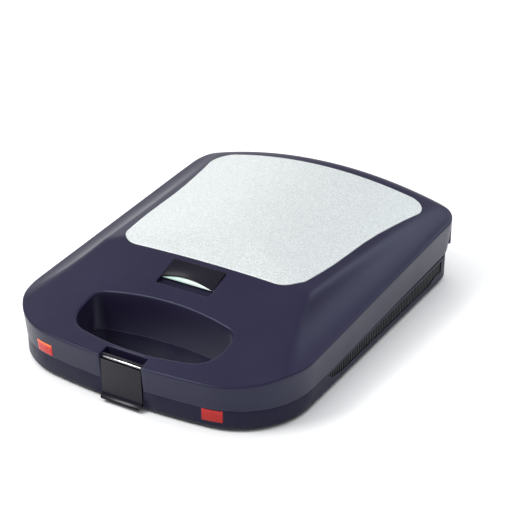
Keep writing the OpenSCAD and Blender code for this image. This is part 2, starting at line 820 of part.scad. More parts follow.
module lid_cover() {
  tube_t = 2.4;
  fork = tongue_w + 2 * hinge_gap + 2 * ear_w + 1.6;
  color([0.15, 0.13, 0.23]) placed()
    difference() {
      lid_form(0, lid_lo);
      difference() {
        lid_form(wall, 8);
        handle_bar(-tube_t, 0, over);
        centred(latch_w + 2 * latch_side + 8, -5, notch_rear + 2, 0, over);
        ind_place() centred(ind_w + 5, -ind_l / 2 - 2.4, ind_l / 2 + 2.4, -7.4, 20);
        for (p = lid_screw_xy) mirrored() post(p, boss_r, p[1] < 80 ? lid_lo + 2.05 : frame_z + 2.05, over);
        for (y = plate_screw_y) post([0, plate_cy + y], boss_r, 2 * meet_h - low_under + 0.05, over);
      }
      handle_bar(0, 0, 100);
      latch_channel(0, 60);
      centred(latch_w + 2 * latch_side, -12, notch_rear, 33.6, 70);
      difference() {
        translate([0, 0, 45]) linear_extrude(60) panel2d(0);
        lid_top(panel_t - panel_proud + 0.1);
      }
      ind_place() centred(ind_w, -ind_l / 2, ind_l / 2, -5, 12);
      at_front(-light_a)
        centred(light_w + 0.4, -10, 12, ready_z - light_h / 2 - 0.2, ready_z + light_h / 2 + 0.2);
      for (p = lid_screw_xy) mirrored() post(p, 1.3, lid_lo, p[1] < 80 ? lid_lo + 13 : 42);
      for (y = plate_screw_y) post([0, plate_cy + y], 1.3, 30, 48);
      across([
        [side_start, lid_lo],
        [body_d - 28, 30],
        [body_d - 15, 35],
        [body_d + 50, 35],
        [body_d + 50, -5],
        [side_start, -5]
      ], body_w + 60);
      mirrored() translate([hinge_x - fork / 2, hinge_y, hinge_z]) rotate([0, 90, 0])
        cylinder(h = fork, r = knuckle_r + 1);
      translate([-30, latch_y, latch_z]) rotate([0, 90, 0]) cylinder(h = 60, r = latch_pin_r + 0.02);
    }
}

// Moulded liner: frames the upper plate and carries the lid's hinge tongues.
module lid_frame() {
  t = 2;
  rim_t = 1.6;
  step_y = plate_y - 3.4;
  o = draft_in(lid_lo) + wall + 0.35;
  color([0.12, 0.11, 0.16]) placed()
    difference() {
      union() {
        intersection() {
          upright(o, lid_lo, frame_z + t);
          centred(400, -20, step_y + t, 0, 60);
        }
        intersection() {
          upright(o, frame_z, frame_z + t);
          centred(400, step_y, 500, 0, 60);
        }
        intersection() {
          difference() {
            upright(o, frame_z, 36);
            upright(o + rim_t, frame_z - 1, 37);
          }
          centred(400, 195, 500, 0, 60);
        }
        mirrored() translate([hinge_x, 0, 0]) tongue();
      }
      intersection() {
        upright(o - 1, lid_lo + t, 60);
        centred(400, -20, step_y, 0, 70);
      }
      handle_bar(-2.4 - 0.25, 0, 60);
      centred(latch_w + 2 * latch_side + 8.6, -20, notch_rear + 2.3, 0, 60);
      centred(block_w + 1, plate_y + flange_w - 0.5, plate_y + plate_d - flange_w + 0.5, frame_z - 1, 60);
      at_front(-light_a) centred(light_w + 6, -10, 13, 0, 60);
      for (p = lid_screw_xy) mirrored() {
        post(p, 1.5, 0, 60);
        if (p[1] < 80) post(p, 3.1, lid_lo - 1, lid_lo + 1.3);
      }
      translate([-hinge_x - 30, hinge_y, hinge_z]) rotate([0, 90, 0])
        cylinder(h = 2 * hinge_x + 60, r = hinge_pin_r + pin_gap);
    }
}

module tongue() {
  back = body_d - 20;
  translate([-tongue_w / 2, 0, 0]) {
    translate([0, hinge_y, hinge_z]) rotate([0, 90, 0]) cylinder(h = tongue_w, r = knuckle_r - 0.5);
    translate([0, back, frame_z + 1.6]) cube([tongue_w, hinge_y - back, hinge_z - frame_z - 1.6]);
  }
}

module lid_screws() {
  color([0.62, 0.63, 0.65]) placed()
    for (p = lid_screw_xy) mirrored() {
      low = p[1] < 80 ? lid_lo + 1.3 : frame_z;
      difference() {
        union() {
          post(p, 2.8, low - 1.2, low - 0.05);
          post(p, 1.25, low - 0.5, low + 11);
        }
        translate([p[0] - 2, p[1] - 0.3, low - 2]) cube([4, 0.6, 1.3]);
        translate([p[0] - 0.3, p[1] - 2, low - 2]) cube([0.6, 4, 1.3]);
      }
    }
}

module top_panel() {
  color([0.80, 0.82, 0.81]) placed()
    difference() {
      intersection() {
        translate([0, 0, 45]) linear_extrude(60) panel2d(seat_gap);
        lid_top(-panel_proud);
      }
      lid_top(panel_t - panel_proud);
    }
}

module upper_plate() {
  color([0.16, 0.16, 0.17]) placed()
    translate([0, plate_cy, meet_h + meet_gap / 2]) mirror([0, 0, 1]) plate_body(low_face - low_under);
}

module upper_plate_screws() {
  color([0.7, 0.7, 0.72]) placed()
    for (y = plate_screw_y)
      translate([0, plate_cy + y, meet_h + meet_gap / 2]) mirror([0, 0, 1]) screw_down(22);
}

module upper_element() {
  color([0.35, 0.34, 0.33]) placed()
    translate([0, plate_cy, 2 * meet_h - lower_el_z]) element_path(element_r);
}

module element_terminals_upper() {
  color([0.85, 0.83, 0.78]) placed()
    translate([0, plate_cy, 2 * meet_h - lower_el_z]) terminals();
}

module upper_heat_shield() {
  color([0.78, 0.79, 0.80]) placed()
    translate([0, 0, 2 * meet_h]) mirror([0, 0, 1]) shield(shield_z, 2 * meet_h - frame_z - 2.05 - shield_z);
}

module ready_lens() {
  lo = ready_z - light_h / 2;
  hi = ready_z + light_h / 2;
  color([0.85, 0.08, 0.06]) placed()
    mirror([1, 0, 0]) lens(ready_z, draft, lo + 1.2, hi + 1);
}

module ready_lamp() {
  color([0.9, 0.55, 0.4]) placed()
    at_front(-light_a) lamp(ready_z + 1, front_y + draft_in(ready_z) + wall + 3);
}

module indicator_hood() {
  g = seat_gap;
  color([0.05, 0.05, 0.06]) placed()
    difference() {
      intersection() {
        ind_place() centred(ind_w - 2 * g, -6, ind_l / 2 - g, -5 + g, 12);
        hood_barrel(hood_r);
      }
      intersection() {
        ind_place() centred(ind_w - 6, -10, -3.8, -0.8, 12);
        hood_barrel(hood_r - 1.4);
      }
    }
}

module indicator_lens() {
  color([0.86, 0.93, 0.88]) placed()
    intersection() {
      ind_place() centred(ind_w - 6.4, -5.6, -4, -0.6, 12);
      hood_barrel(hood_r - 1.6);
    }
}

module latch_pin() {
  half = latch_w / 2 + latch_side + 3.8;
  color([0.75, 0.76, 0.78]) placed()
    translate([-half, latch_y, latch_z]) rotate([0, 90, 0]) cylinder(h = 2 * half, r = latch_pin_r);
}

module latch_clip() {
  y0 = latch_y - latch_head_r;
  color([0.08, 0.07, 0.10]) placed()
    difference() {
      union() {
        translate([-latch_w / 2, latch_y, latch_z]) rotate([0, 90, 0]) cylinder(h = latch_w, r = latch_head_r);
        across([
          [y0, latch_z],
          [y0 + 0.2, latch_z - 8],
          [y0 + 0.7, 14],
          [y0 + 0.5, 9.5],
          [y0 - 1, 6.8],
          [lip_y, lip_z + 0.6],
          [lip_y, lip_z - 1.2],
          [y0 + 0.6, 4.6],
          [y0 + 2.6, 7],
          [y0 + 0.7 + latch_t, 10],
          [y0 + 0.7 + latch_t, 14],
          [y0 + 0.2 + latch_t, latch_z - 8],
          [y0 + latch_t, latch_z]
        ], latch_w);
      }
      translate([-30, latch_y, latch_z]) rotate([0, 90, 0]) cylinder(h = 60, r = latch_pin_r + pin_gap);
    }
}

base_housing();
base_bottom();
rubber_feet();
bottom_screws();
side_grille_right();
side_grille_left();
lower_plate();
lower_plate_screws();
lower_element();
element_terminals_lower();
lower_heat_shield();
thermostat();
terminal_block();
cord_gland();
power_lens();
power_lamp();
hinge_pins();
lid_cover();
top_panel();
lid_frame();
lid_screws();
upper_plate();
upper_plate_screws();
upper_element();
element_terminals_upper();
upper_heat_shield();
ready_lens();
ready_lamp();
indicator_hood();
indicator_lens();
latch_pin();
latch_clip();
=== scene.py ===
import math

import bmesh
import bpy
import numpy as np
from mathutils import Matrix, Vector
from mathutils.geometry import delaunay_2d_cdt


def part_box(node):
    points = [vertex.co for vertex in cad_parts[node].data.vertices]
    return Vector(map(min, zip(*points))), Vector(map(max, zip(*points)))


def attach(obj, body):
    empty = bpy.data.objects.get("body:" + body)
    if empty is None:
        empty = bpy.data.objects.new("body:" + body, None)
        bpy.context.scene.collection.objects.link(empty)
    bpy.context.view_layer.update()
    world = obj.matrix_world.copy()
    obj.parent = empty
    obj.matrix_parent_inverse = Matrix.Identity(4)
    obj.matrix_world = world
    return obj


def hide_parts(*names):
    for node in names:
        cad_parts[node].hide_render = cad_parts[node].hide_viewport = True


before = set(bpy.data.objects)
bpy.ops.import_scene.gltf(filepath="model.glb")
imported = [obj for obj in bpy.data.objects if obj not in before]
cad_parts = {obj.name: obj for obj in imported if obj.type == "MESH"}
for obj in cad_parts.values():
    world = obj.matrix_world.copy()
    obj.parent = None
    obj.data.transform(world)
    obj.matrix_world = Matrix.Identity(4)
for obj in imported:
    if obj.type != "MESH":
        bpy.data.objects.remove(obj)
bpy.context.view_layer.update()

bpy.ops.object.select_all(action="DESELECT")

# The photograph is taken with a long lens from above the toaster's front right corner, on
# a seamless pale table. A broad soft ceiling and three soft boxes light it.
azimuth, elevation = math.radians(30.86), math.radians(27.49)
level = math.cos(elevation)
back = Vector((math.sin(azimuth) * level, -math.cos(azimuth) * level, math.sin(elevation)))
aim, distance = Vector((-0.0118, 0.0530, 0.0300)), 1.3685
lens_data = bpy.data.cameras.new("view")
lens_data.lens, lens_data.sensor_width = 105.32, 36.0
camera = bpy.data.objects.new("view", lens_data)
bpy.context.scene.collection.objects.link(camera)
camera.location = aim + back * distance
camera.rotation_mode = "QUATERNION"
camera.rotation_quaternion = (-back).to_track_quat("-Z", "Y")
bpy.context.scene.camera = camera
bpy.context.scene.view_settings.view_transform = "Standard"

# The camera sees a plain white room, and the toaster is lit by a dimmer, cooler one.
sky = bpy.data.worlds.new("studio")
bpy.context.scene.world = sky
sky.use_nodes = True
air = sky.node_tree
dim = air.nodes["Background"]
dim.inputs["Color"].default_value = (0.93, 0.96, 1.0, 1.0)
dim.inputs["Strength"].default_value = 0.34
plain = air.nodes.new("ShaderNodeBackground")
plain.inputs["Color"].default_value = (1.0, 1.0, 1.0, 1.0)
seen = air.nodes.new("ShaderNodeLightPath")
either = air.nodes.new("ShaderNodeMixShader")
air.links.new(seen.outputs["Is Camera Ray"], either.inputs["Fac"])
air.links.new(dim.outputs[0], either.inputs[1])
air.links.new(plain.outputs[0], either.inputs[2])
air.links.new(either.outputs[0], air.nodes["World Output"].inputs["Surface"])

ceiling = bpy.data.lights.new("ceiling", "SUN")
ceiling.energy, ceiling.angle = 2.35, math.radians(95)
ceiling_lamp = bpy.data.objects.new("ceiling", ceiling)
bpy.context.scene.collection.objects.link(ceiling_lamp)
ceiling_lamp.rotation_mode = "QUATERNION"
ceiling_lamp.rotation_quaternion = Vector((0.10, -0.08, -0.99)).to_track_quat("-Z", "Y")
ceiling_lamp.visible_glossy = False


def soft_box(name, at, towards, width, height, power, tint=(1, 1, 1)):
    data = bpy.data.lights.new(name, "AREA")
    data.shape, data.size, data.size_y = "RECTANGLE", width, height
    data.energy, data.color = power, tint
    lamp = bpy.data.objects.new(name, data)
    bpy.context.scene.collection.objects.link(lamp)
    lamp.location = at
    lamp.rotation_mode = "QUATERNION"
    lamp.rotation_quaternion = (Vector(towards) - Vector(at)).to_track_quat("-Z", "Y")
    return lamp


soft_box("front_left", (-0.95, -1.0, 1.6), (0, 0, 0.03), 0.9, 0.8, 26)
soft_box("rear_left", (-1.5, 1.4, 0.95), (0, 0.05, 0.05), 1.2, 0.9, 3.2)
soft_box("rear_right", (0.55, 1.75, 1.25), (0, 0.05, 0.05), 0.9, 0.8, 6, (0.85, 0.92, 1.0))

bpy.ops.mesh.primitive_plane_add(size=40, location=(0, 0, 0))
table = bpy.context.object
table.name = "table"
paper = bpy.data.materials.new("white_paper")
paper.use_nodes = True
paper_shader = paper.node_tree.nodes["Principled BSDF"]
paper_shader.inputs["Base Color"].default_value = (0.93, 0.93, 0.93, 1)
paper_shader.inputs["Roughness"].default_value = 0.65
paper_shader.inputs["Specular IOR Level"].default_value = 0.25
table.data.materials.append(paper)


# The lid is one moulding in satin navy plastic: a crowned top that runs down in a long
# S to the front rim, with a scooped facet along each side and a drafted belt below it.
# It is shaped here in millimetres, with y measured back from the front rim.
half_w, front_r, corner_r, rear_r, depth = 138.0, 557.904, 71.184, 28.0, 350.0
arc_y = front_r - 2.0
corner_x = half_w - corner_r
corner_y = arc_y - math.sqrt((front_r - corner_r) ** 2 - corner_x**2)
belt_top, draft, parting_z = 63.0, 0.1, 20.3
mid_y = 177.7


def in_frame(points):
    p = np.array(points, float)
    return np.stack([p[:, 0], p[:, 1] - mid_y, p[:, 2]], 1) / 1000


curve_t = np.linspace(0, 1, 160)


def bezier(a, b, c, d):
    t = curve_t
    return (1 - t) ** 3 * a + 3 * (1 - t) ** 2 * t * b + 3 * (1 - t) * t**2 * c + t**3 * d


ramp_y = np.concatenate([[-16], bezier(0, 80, 125, 165), [460]])
ramp_z = np.concatenate([[42.5 - 16 * 0.169], bezier(42.5, 56, 80, 83.3), [111]])


def smooth_min(a, b, reach):
    h = np.clip(reach - np.abs(a - b), 0, None) / reach
    return np.minimum(a, b) - h**2 * reach / 4


def lid_height(x, y):
    """Height of the lid's surface: front slope, crown and side scoop, run into one another."""
    x, y = np.asarray(x, float), np.asarray(y, float)
    ramp = np.interp(front_r - 2 - np.hypot(x, y - arc_y), ramp_y, ramp_z)
    r = 440 - 0.0077 * (350 - y)
    crown = 85 - 440 + np.sqrt(r**2 - x**2)
    late = np.clip(y - 335, 0, None)
    crown = crown - late**2 * 0.019
    start = math.radians(10.4)
    across = np.clip((half_w + 60 * math.sin(start) - np.abs(x)) / 60, 0, 1)
    scoop = 42.2 + 0.062 * y + 60 * math.cos(start) - 60 * np.sqrt(1 - across**2)
    scoop = np.where(across >= 1, 200, scoop)
    return smooth_min(smooth_min(ramp, crown, 1.2), scoop, 2.6)


def arc(cx, cy, r, a0, a1, step):
    """Points on an arc, with their outward directions; the last point is left out."""
    n = max(2, int(abs(a1 - a0) * r / step))
    a = a0 + (a1 - a0) * np.arange(n) / n
    d = np.stack([np.cos(a), np.sin(a)], 1)
    return np.array([cx, cy]) + r * d, d


def run(p, q, d, step):
    n = max(1, int(math.dist(p, q) / step))
    t = (np.arange(n) / n)[:, None]
    return np.array(p) * (1 - t) + np.array(q) * t, np.tile(np.array(d, float), (n, 1))


def mirrored_loop(points, dirs):
    """Closes a right half with its mirror image; its two ends lie on the centre line."""
    flip = np.array([-1.0, 1.0])
    return tuple(np.concatenate([half, (half * flip)[-2:0:-1]]) for half in (points, dirs))


def joined(parts):
    return tuple(np.concatenate(rows) for rows in zip(*parts))


def outline_half(step, from_x=0.0):
    """Right half of the plan outline, from the front to the middle of the rear."""
    turn = math.atan2(corner_x, arc_y - corner_y)
    start = math.asin(from_x / front_r)
    return joined([
        arc(0, arc_y, front_r, start - math.pi / 2, turn - math.pi / 2, step),
        arc(corner_x, corner_y, corner_r, turn - math.pi / 2, 0, step),
        run((half_w, corner_y), (half_w, depth - rear_r), (1, 0), step),
        arc(half_w - rear_r, depth - rear_r, rear_r, 0, math.pi / 2, step * 0.7),
        run((half_w - rear_r, depth), (0, depth), (0, 1), step),
        (np.array([[0, depth]]), np.array([[0.0, 1.0]])),
    ])


def handle_half(o, step):
    """Right half of the carry opening, o outside it, with directions into the moulding."""
    half, front_y, rear_y, front_bow, rear_bow, rf, rr = 69, 16.5, 74.5, 210, 260, 23.0, 11.0
    front_c, rear_c = front_y + front_bow, rear_y - rear_bow
    cf = (half - rf, front_c - math.sqrt((front_bow - rf) ** 2 - (half - rf) ** 2))
    cr = (half - rr, rear_c + math.sqrt((rear_bow - rr) ** 2 - (half - rr) ** 2))
    af, ar = math.atan2(cf[1] - front_c, cf[0]), math.atan2(cr[1] - rear_c, cr[0])
    return joined([
        arc(0, front_c, front_bow + o, -math.pi / 2, af, step),
        arc(*cf, rf + o, af, 0, step * 0.6),
        run((half + o, cf[1]), (half + o, cr[1]), (1, 0), step),
        arc(*cr, rr + o, 0, ar, step * 0.6),
        arc(0, rear_c, rear_bow + o, ar, math.pi / 2, step),
        (np.array([[0, rear_c + rear_bow + o]]), np.array([[0.0, 1.0]])),
    ])


def panel_half(o, step):
    """Right half of the silver panel's edge, o outside it, with outward directions."""
    front_x, rear_x, front_y, rear_y, front_turn, rear_turn = 91, 112, 125, 331, 22.0, 18.0
    lean = math.radians(9)
    spine = np.array([
        (91, 147), (93.4, 163), (95.3, 180), (96.8, 204), (98.2, 228),
        (100.6, 250), (103.9, 270.5), (107.8, 292), (112, 313),
    ], float)
    tangent = np.gradient(spine, axis=0)
    tangent /= np.linalg.norm(tangent, axis=1)[:, None]
    side = np.stack([tangent[:, 1], -tangent[:, 0]], 1)
    front_c = (front_x - front_turn, front_y + front_turn)
    rear_c = (rear_x - rear_turn, rear_y - rear_turn)
    return joined([
        run((0, front_y - o), (front_c[0], front_y - o), (0, -1), step),
        arc(*front_c, front_turn + o, -math.pi / 2, -lean, step * 0.6),
        (spine[1:-1] + side[1:-1] * o, side[1:-1]),
        arc(*rear_c, rear_turn + o, -lean, math.pi / 2, step * 0.6),
        run((rear_c[0], rear_y + o), (0, rear_y + o), (0, 1), step),
        (np.array([[0, rear_y + o]]), np.array([[0.0, 1.0]])),
    ])


def within(loop, points):
    """Which of the points lie inside the closed loop."""
    inside = np.zeros(len(points), bool)
    x, y = points.T
    for p, q in zip(loop, np.roll(loop, -1, 0)):
        if p[1] != q[1]:
            crossed = (p[1] > y) != (q[1] > y)
            inside ^= crossed & (x < (q[0] - p[0]) * (y - p[1]) / (q[1] - p[1]) + p[0])
    return inside


def fill_plan(outer, holes, step):
    """Triangles of the plan region inside outer and outside the holes, on a close even grid."""

    def in_region(points):
        inside = within(outer, points)
        for hole in holes:
            inside &= ~within(hole, points)
        return inside

    lo, hi = outer.min(0), outer.max(0)
    gx, gy = np.meshgrid(np.arange(lo[0] + step, hi[0], step), np.arange(lo[1] + step, hi[1], step))
    gx = gx + (np.arange(gx.shape[0]) % 2)[:, None] * step * 0.5
    grid = np.stack([gx.ravel(), gy.ravel()], 1)
    keep = in_region(grid)
    loops, edges, base = [outer, *holes], [], 0
    for loop in loops:
        near = np.full(len(grid), 1e9)
        for p, q in zip(loop, np.roll(loop, -1, 0)):
            d = q - p
            t = np.clip(((grid - p) @ d) / max(d @ d, 1e-12), 0, 1)
            near = np.minimum(near, np.hypot(*(grid - p - t[:, None] * d).T))
        keep &= near > step * 0.55
        n = len(loop)
        edges += [(base + i, base + (i + 1) % n) for i in range(n)]
        base += n
    points = np.concatenate([*loops, grid[keep]])
    made = delaunay_2d_cdt([Vector(p) for p in points], edges, [], 0, 1e-5)
    verts = np.array([tuple(v) for v in made[0]])
    centres = np.array([verts[list(f)].mean(0) for f in made[2]])
    return verts, [list(f) for f, ok in zip(made[2], in_region(centres)) if ok]


class Shell:
    """Vertices and faces gathered for one piece."""

    def __init__(self):
        self.points, self.faces, self.count = [], [], 0

    def add(self, points, faces=()):
        base = self.count
        self.points.append(np.asarray(points, float))
        self.count += len(points)
        self.faces += [[base + i for i in f] for f in faces]
        return base + np.arange(len(points))

    def strip(self, a, b, turn=False):
        n = len(a)
        for i in range(n):
            j = (i + 1) % n
            quad = [a[i], a[j], b[j], b[i]]
            self.faces.append(quad[::-1] if turn else quad)

    def build(self, name, doubles=0.004):
        mesh = bpy.data.meshes.new(name)
        mesh.from_pydata(in_frame(np.concatenate(self.points)).tolist(), [], self.faces)
        piece = bpy.data.objects.new(name, mesh)
        bpy.context.scene.collection.objects.link(piece)
        work = bmesh.new()
        work.from_mesh(mesh)
        bmesh.ops.remove_doubles(work, verts=work.verts, dist=doubles / 1000)
        bmesh.ops.dissolve_degenerate(work, edges=work.edges, dist=1e-7)
        bmesh.ops.recalc_face_normals(work, faces=work.faces)
        work.to_mesh(mesh)
        work.free()
        return piece


def rounded_edge(corner, along_top, along_wall, r, n=5):
    """Points of the fillet between two directions that leave each corner, top first."""
    u = along_top / np.linalg.norm(along_top, axis=1)[:, None]
    v = along_wall / np.linalg.norm(along_wall, axis=1)[:, None]
    angle = np.arccos(np.clip((u * v).sum(1), -1, 1))
    reach = (np.asarray(r) / np.tan(angle / 2))[:, None]
    hand = 4 / 3 * np.tan((math.pi - angle) / 4)[:, None] * np.asarray(r).reshape(-1, 1)
    p0, p3 = corner + u * reach, corner + v * reach
    p1, p2 = p0 - u * hand, p3 - v * hand
    return [
        (1 - t) ** 3 * p0 + 3 * (1 - t) ** 2 * t * p1 + 3 * (1 - t) * t**2 * p2 + t**3 * p3
        for t in np.linspace(0, 1, n)
    ]


def rim(shell, ring, plan, inward, height, wall_dir, r, lower, rows, turn):
    """Rounds an open edge of the top from its ring inward and drops the wall to its lower edge."""
    e = 0.5
    slope = (height(*(plan + inward * e).T) - height(*plan.T)) / e
    corner = np.column_stack([plan, height(*plan.T)])
    top = np.column_stack([inward, slope])
    last = ring
    for p in rounded_edge(corner, top, wall_dir, r):
        ids = shell.add(p)
        shell.strip(last, ids, turn)
        last, at = ids, p
    for k in range(1, rows + 1):
        share = k / rows
        z = at[:, 2] * (1 - share) + lower * share
        down = (at[:, 2] - z)[:, None] / -wall_dir[:, 2:3]
        ids = shell.add(at + wall_dir * down)
        shell.strip(last, ids, turn)
        last = ids


def straight_down(loop):
    return np.tile([0.0, 0.0, -1.0], (len(loop), 1))


def lid_edge_height(plan):
    """Lower edge of the lid: level in front, rising to the rear."""
    return np.interp(plan[:, 1], [98, 322, 335, 420], [parting_z, 30, 35, 35])


lid = Shell()
# Outline of the rim with the notch for the latch: its back, rounded inner corner, side and
# rounded outer corner. The wall leans in, so the place of the edge depends on its height.
notch_x, notch_y, inner_r, outer_r, side_n = 20.1, 12.4, 1.0, 0.9, 4
out_p, out_d = outline_half(3.0, from_x=notch_x + outer_r)
front_at = arc_y - math.sqrt(front_r**2 - (notch_x + outer_r) ** 2)
back_p, back_d = run((0, notch_y), (notch_x - inner_r, notch_y), (0, -1), 3.0)
turned = np.radians(np.linspace(0, 90, 4))
inner_d = np.stack([np.sin(turned), np.cos(turned)], 1)
inner_p = np.array([notch_x - inner_r, notch_y - inner_r]) + inner_r * inner_d
side_p = np.stack([np.full(side_n, notch_x), np.linspace(notch_y - 3.0, front_at + 2.4, side_n)], 1)
side_d = np.tile([-1.0, 0.0], (side_n, 1))
turned = np.radians([0, 30, 60])
outer_d = np.stack([np.cos(turned), np.sin(turned)], 1)
outer_p = np.array([notch_x + outer_r, front_at + outer_r]) - outer_r * outer_d
half_p = np.concatenate([back_p, inner_p, side_p, outer_p, out_p])
half_d = np.concatenate([back_d, -inner_d, side_d, -outer_d, out_d])
lean_in = np.concatenate([
    np.zeros((len(back_p) + len(inner_p), 2)),
    np.stack([np.zeros(side_n), np.linspace(0.15, 0.8, side_n)], 1),
    np.tile([0.0, 1.0], (len(outer_p), 1)),
    -out_d,
])
notch_n = len(back_p) + len(inner_p) + side_n
front_round = np.interp(np.arange(len(out_p)), [0, 6], [0.8, 1.7])
half_r = np.concatenate([np.full(notch_n, 0.7), np.full(len(outer_p), 0.75), front_round])
rim_p, rim_d = mirrored_loop(half_p, half_d)
_, rim_lean = mirrored_loop(half_p, lean_in)
rim_r = np.concatenate([half_r, half_r[-2:0:-1]])
z = np.full(len(rim_p), 45.0)
for _ in range(8):
    plan = rim_p + rim_lean * (draft * np.clip(belt_top - z, 0, None))[:, None]
    z = lid_height(*plan.T)
# The open top starts this many edge radii from the wall, clear of the notch's corners.
set_in = 1.9
top_ring = plan - rim_d * (rim_r * set_in)[:, None]
for s in (1, -1):
    x = s * plan[:, 0]
    beside = (x > notch_x - 0.2) & (x < notch_x + 6) & (plan[:, 1] < notch_y - 0.5)
    low_y = plan[beside][:, 1].min() + 0.8 * set_in
    top_ring[beside, 0] = s * np.maximum(s * top_ring[beside, 0], notch_x + 0.75 * set_in)
    top_ring[beside, 1] = np.maximum(top_ring[beside, 1], low_y)
wall_dir = np.column_stack([rim_lean * draft, -np.ones(len(rim_p))])
wall_dir[z > belt_top, :2] = 0

hand_round, slot_round, ind_round = 1.9, 0.35, 0.6
hand_p, hand_d = mirrored_loop(*handle_half(0.0, 2.6))
hand_ring = hand_p + hand_d * 3.4
slot_p, slot_d = mirrored_loop(*panel_half(0.0, 3.0))
slot_ring = slot_p + slot_d * 0.9
slot_deep = 1.6

# The indicator's recess lies square to the slope, so it is shorter in plan.
ind_y, ind_z, ind_slope = 105, 69.25, math.radians(21)
ind_half_l = 15.0 * math.cos(ind_slope)
ind_front = ind_y - ind_half_l


def recess_loop(hx, y0, y1, r, step):
    """Rounded rectangle in plan, counter-clockwise, with outward directions."""
    centres = np.array([(hx - r, y0 + r), (hx - r, y1 - r), (-hx + r, y1 - r), (-hx + r, y0 + r)])
    parts = []
    for k, centre in enumerate(centres):
        a0 = -math.pi / 2 + k * math.pi / 2
        a1 = a0 + math.pi / 2
        away = np.array([math.cos(a1), math.sin(a1)])
        parts.append(arc(*centre, r, a0, a1, 0.5))
        parts.append(run(centre + r * away, centres[(k + 1) % 4] + r * away, away, step))
    return joined(parts)


def slope_z(y):
    return ind_z + (y - ind_y) * math.tan(ind_slope)


def ind_floor(_, y):
    """Floor of the recess: a ramp down from the front edge to below the hood."""
    return slope_z(y) - (0.7 + 3.9 * np.clip((y - ind_front) / 6.5, 0, 1))


def ring_points(loop):
    return lid.add(np.column_stack([loop, lid_height(*loop.T)]))


def floor_under(shell, loop, height, step):
    plan_v, plan_f = fill_plan(loop, [], step)
    shell.add(np.column_stack([plan_v, height(*plan_v.T)]), plan_f)


def slot_floor(x, y):
    return lid_height(x, y) - slot_deep


ind_p, ind_d = recess_loop(26.2, ind_y - ind_half_l, ind_y + ind_half_l, 1.4, 3.0)
ind_ring = ind_p + ind_d * 1.5
plan_v, plan_f = fill_plan(top_ring, [hand_ring, slot_ring, ind_ring], 3.0)
lid.add(np.column_stack([plan_v, lid_height(*plan_v.T)]), plan_f)
for ring, loop, inward, wall, r, lower, rows, turn in (
    (top_ring, plan, -rim_d, wall_dir, rim_r, lid_edge_height(plan), 7, False),
    (hand_ring, hand_p, hand_d, straight_down(hand_p), hand_round, parting_z, 8, True),
    (slot_ring, slot_p, slot_d, straight_down(slot_p), slot_round, slot_floor(*slot_p.T), 1, True),
    (ind_ring, ind_p, ind_d, straight_down(ind_p), ind_round, ind_floor(*ind_p.T), 2, True),
):
    rim(lid, ring_points(ring), loop, inward, lid_height, wall, r, lower, rows, turn)
floor_under(lid, slot_p, slot_floor, 6.0)
floor_under(lid, ind_p, ind_floor, 2.0)
lid_piece = lid.build("lid_moulding")


def only(piece):
    bpy.ops.object.select_all(action="DESELECT")
    piece.select_set(True)
    bpy.context.view_layer.objects.active = piece


def apply_all(piece):
    only(piece)
    for m in list(piece.modifiers):
        bpy.ops.object.modifier_apply(modifier=m.name)


inward_wall = lid_piece.modifiers.new("wall", "SOLIDIFY")
inward_wall.thickness, inward_wall.offset, inward_wall.use_even_offset = 0.0024, -1.0, False
apply_all(lid_piece)
bpy.ops.object.shade_smooth_by_angle(angle=math.radians(38))

# Clearance for the base's two hinge knuckles in the lower edge of the rear wall.
knuckle_x, knuckle_y, knuckle_z, gap_r, gap_w = 88, 352, 31, 6.9, 21.2
for side in (-1, 1):
    bpy.ops.object.select_all(action="DESELECT")
    bpy.ops.mesh.primitive_cylinder_add(
        vertices=48, radius=gap_r / 1000, depth=gap_w / 1000, rotation=(0, math.pi / 2, 0),
        location=(side * knuckle_x / 1000, (knuckle_y - mid_y) / 1000, knuckle_z / 1000),
    )
    cutter = bpy.context.object
    cut = lid_piece.modifiers.new("knuckle_gap", "BOOLEAN")
    cut.operation, cut.object, cut.solver = "DIFFERENCE", cutter, "EXACT"
    apply_all(lid_piece)
    bpy.data.objects.remove(cutter)
only(lid_piece)
bpy.ops.object.shade_smooth_by_angle(angle=math.radians(38))
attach(lid_piece, "lid")
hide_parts("lid_cover")


# Satin mouldings take light on a very fine spark-eroded grain. These groups give that grain,
# the slight polish that rubbing leaves along edges, a paler edge tint that is partly rubbing and
# partly painted highlight, and the dust that settles on what faces up.


def new_group(name, inputs, outputs):
    """A node group of plain number sockets, with what adds nodes to it."""
    group = bpy.data.node_groups.new(name, "ShaderNodeTree")
    for label, value in inputs:
        socket = group.interface.new_socket(label, in_out="INPUT", socket_type="NodeSocketFloat")
        socket.default_value = value
    for label in outputs:
        group.interface.new_socket(label, in_out="OUTPUT", socket_type="NodeSocketFloat")
    return group, Wire(group)


